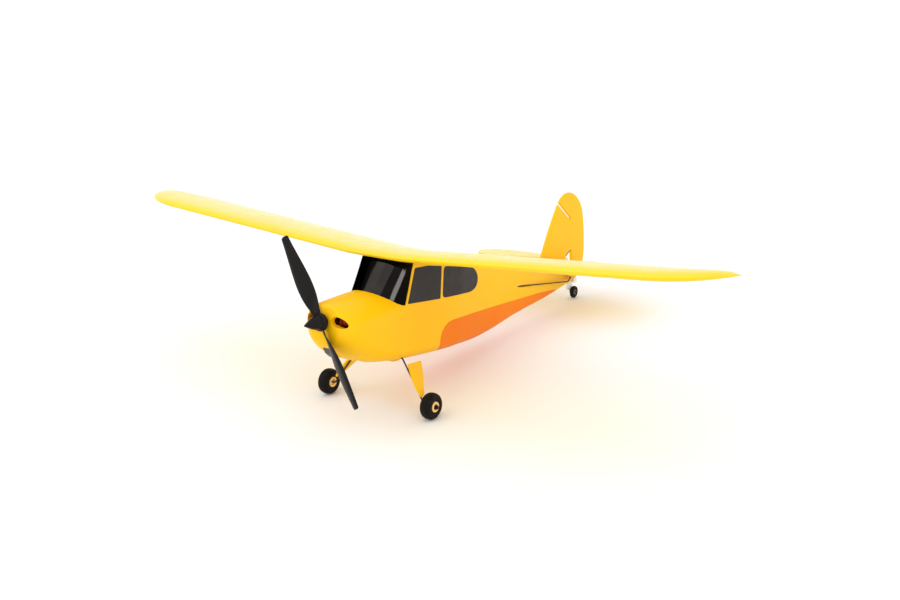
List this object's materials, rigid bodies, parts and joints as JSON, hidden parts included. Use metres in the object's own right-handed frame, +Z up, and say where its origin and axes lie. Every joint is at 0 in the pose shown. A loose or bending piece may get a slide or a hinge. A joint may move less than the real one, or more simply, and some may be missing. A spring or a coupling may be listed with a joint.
{
  "type": "foam model aeroplane",
  "caption": "Small high-wing electric foam model aeroplane, standing on three wheels, with turning propeller and wheels and moving rudder and elevator.",
  "frame": {"origin": "On the ground, under the middle of the bounding box, with the aeroplane standing on its main wheels and tail wheel.", "axes": "+X towards the left wing tip, +Y towards the tail, +Z up. The nose points along -Y and the fuselage is pitched 10.76 degrees nose-up on the ground."},
  "size_m": [0.5144, 0.3622, 0.1385],
  "materials": {
    "wing_foam": "fine moulded foam, bright yellow",
    "body_foam": "fine moulded foam, golden yellow",
    "stripe": "printed orange film",
    "window_film": "printed dark grey film",
    "screen_plastic": "gloss black vacuum-formed sheet",
    "black_nylon": "semi-gloss moulded nylon",
    "grey_nylon": "moulded nylon, dark grey",
    "white_nylon": "moulded nylon, translucent white",
    "yellow_nylon": "moulded nylon, yellow",
    "tyre_foam": "black foam rubber",
    "hub_plastic": "cream moulded plastic",
    "wire_steel": "blackened spring steel wire",
    "motor_steel": "bright steel",
    "brass": "turned brass",
    "carbon": "pultruded carbon strip",
    "engine_red": "dark red moulded plastic",
    "circuit_board": "green circuit board",
    "plywood": "thin plywood",
    "battery_wrap": "blue shrink wrap",
    "hook_tape": "hook and loop tape"
  },
  "bodies": {
    "airframe": {"fuselage_half_left": "body_foam", "fuselage_half_right": "body_foam", "front_window_left": "window_film", "front_window_right": "window_film", "rear_window_left": "window_film", "rear_window_right": "window_film", "belly_stripe_left": "stripe", "belly_stripe_right": "stripe", "windscreen": "screen_plastic", "wing": "wing_foam", "wing_spar_left": "carbon", "wing_spar_right": "carbon", "fin": "body_foam", "stabiliser": "wing_foam", "gear_wire": "wire_steel", "gear_plate": "yellow_nylon", "gear_fairing_left": "body_foam", "gear_fairing_right": "body_foam", "wheel_collar_left": "black_nylon", "wheel_collar_right": "black_nylon", "gearbox_frame": "grey_nylon", "front_shaft_bush": "brass", "rear_shaft_bush": "brass", "motor": "motor_steel", "dummy_cylinder_left": "engine_red", "dummy_cylinder_right": "engine_red", "chin_scoop": "grey_nylon", "firewall": "plywood", "battery_tray": "plywood", "battery": "battery_wrap", "battery_tape": "hook_tape", "radio_tray": "plywood", "receiver_board": "circuit_board", "rudder_servo": "black_nylon", "elevator_servo": "black_nylon"},
    "propeller_shaft": {"propeller": "black_nylon", "spinner": "black_nylon", "prop_shaft": "motor_steel", "spur_gear": "grey_nylon"},
    "motor_rotor": {"motor_shaft": "motor_steel", "motor_pinion": "brass"},
    "left_wheel": {"main_tyre_left": "tyre_foam", "main_hub_left": "hub_plastic"},
    "right_wheel": {"main_tyre_right": "tyre_foam", "main_hub_right": "hub_plastic"},
    "rudder_unit": {"rudder": "body_foam", "tail_wheel_bracket": "white_nylon", "tail_axle": "wire_steel"},
    "tail_wheel": {"tail_tyre": "tyre_foam", "tail_hub": "grey_nylon"},
    "elevator_unit": {"elevator": "wing_foam", "elevator_horn": "yellow_nylon"},
    "rudder_drive": {"rudder_slider": "white_nylon", "rudder_pushrod": "wire_steel"},
    "elevator_drive": {"elevator_slider": "white_nylon", "elevator_pushrod": "wire_steel"}
  },
  "joints": [
    {"name": "propeller_spin", "type": "hinge", "parent": "airframe", "child": "propeller_shaft", "pos_m": [0, -0.1659, 0.08292], "axis": [0.0331, 0.991, -0.1297], "continuous": true},
    {"name": "motor_spin", "type": "hinge", "parent": "airframe", "child": "motor_rotor", "pos_m": [0.00035, -0.15732, 0.07141], "axis": [0.0331, 0.991, -0.1297], "continuous": true},
    {"name": "left_wheel_spin", "type": "hinge", "parent": "airframe", "child": "left_wheel", "pos_m": [0.0486, -0.1114, 0.00975], "axis": [1, 0, 0], "continuous": true},
    {"name": "right_wheel_spin", "type": "hinge", "parent": "airframe", "child": "right_wheel", "pos_m": [-0.0486, -0.1114, 0.00975], "axis": [1, 0, 0], "continuous": true},
    {"name": "rudder_hinge", "type": "hinge", "parent": "airframe", "child": "rudder_unit", "pos_m": [0, 0.15862, 0.03743], "axis": [0, 0.02, 0.9998], "range_deg": [-25, 25]},
    {"name": "tail_wheel_spin", "type": "hinge", "parent": "rudder_unit", "child": "tail_wheel", "pos_m": [0, 0.16281, 0.00539], "axis": [1, 0, 0], "continuous": true},
    {"name": "elevator_hinge", "type": "hinge", "parent": "airframe", "child": "elevator_unit", "pos_m": [0, 0.14799, 0.0367], "axis": [1, 0, 0], "range_deg": [-20, 20]},
    {"name": "rudder_pushrod_slide", "type": "slide", "parent": "airframe", "child": "rudder_drive", "axis": [0.0195, 0.9687, -0.2474], "range_m": [-0.00375, 0.00375]},
    {"name": "elevator_pushrod_slide", "type": "slide", "parent": "airframe", "child": "elevator_drive", "axis": [-0.0284, 0.9704, -0.2398], "range_m": [-0.00421, 0.00421]}
  ],
  "couplings": [
    {"joint": "motor_spin", "follows": "propeller_spin", "ratio": -4},
    {"joint": "rudder_pushrod_slide", "follows": "rudder_hinge", "m_per_rad": -0.008373},
    {"joint": "elevator_pushrod_slide", "follows": "elevator_hinge", "m_per_rad": 0.011778}
  ]
}
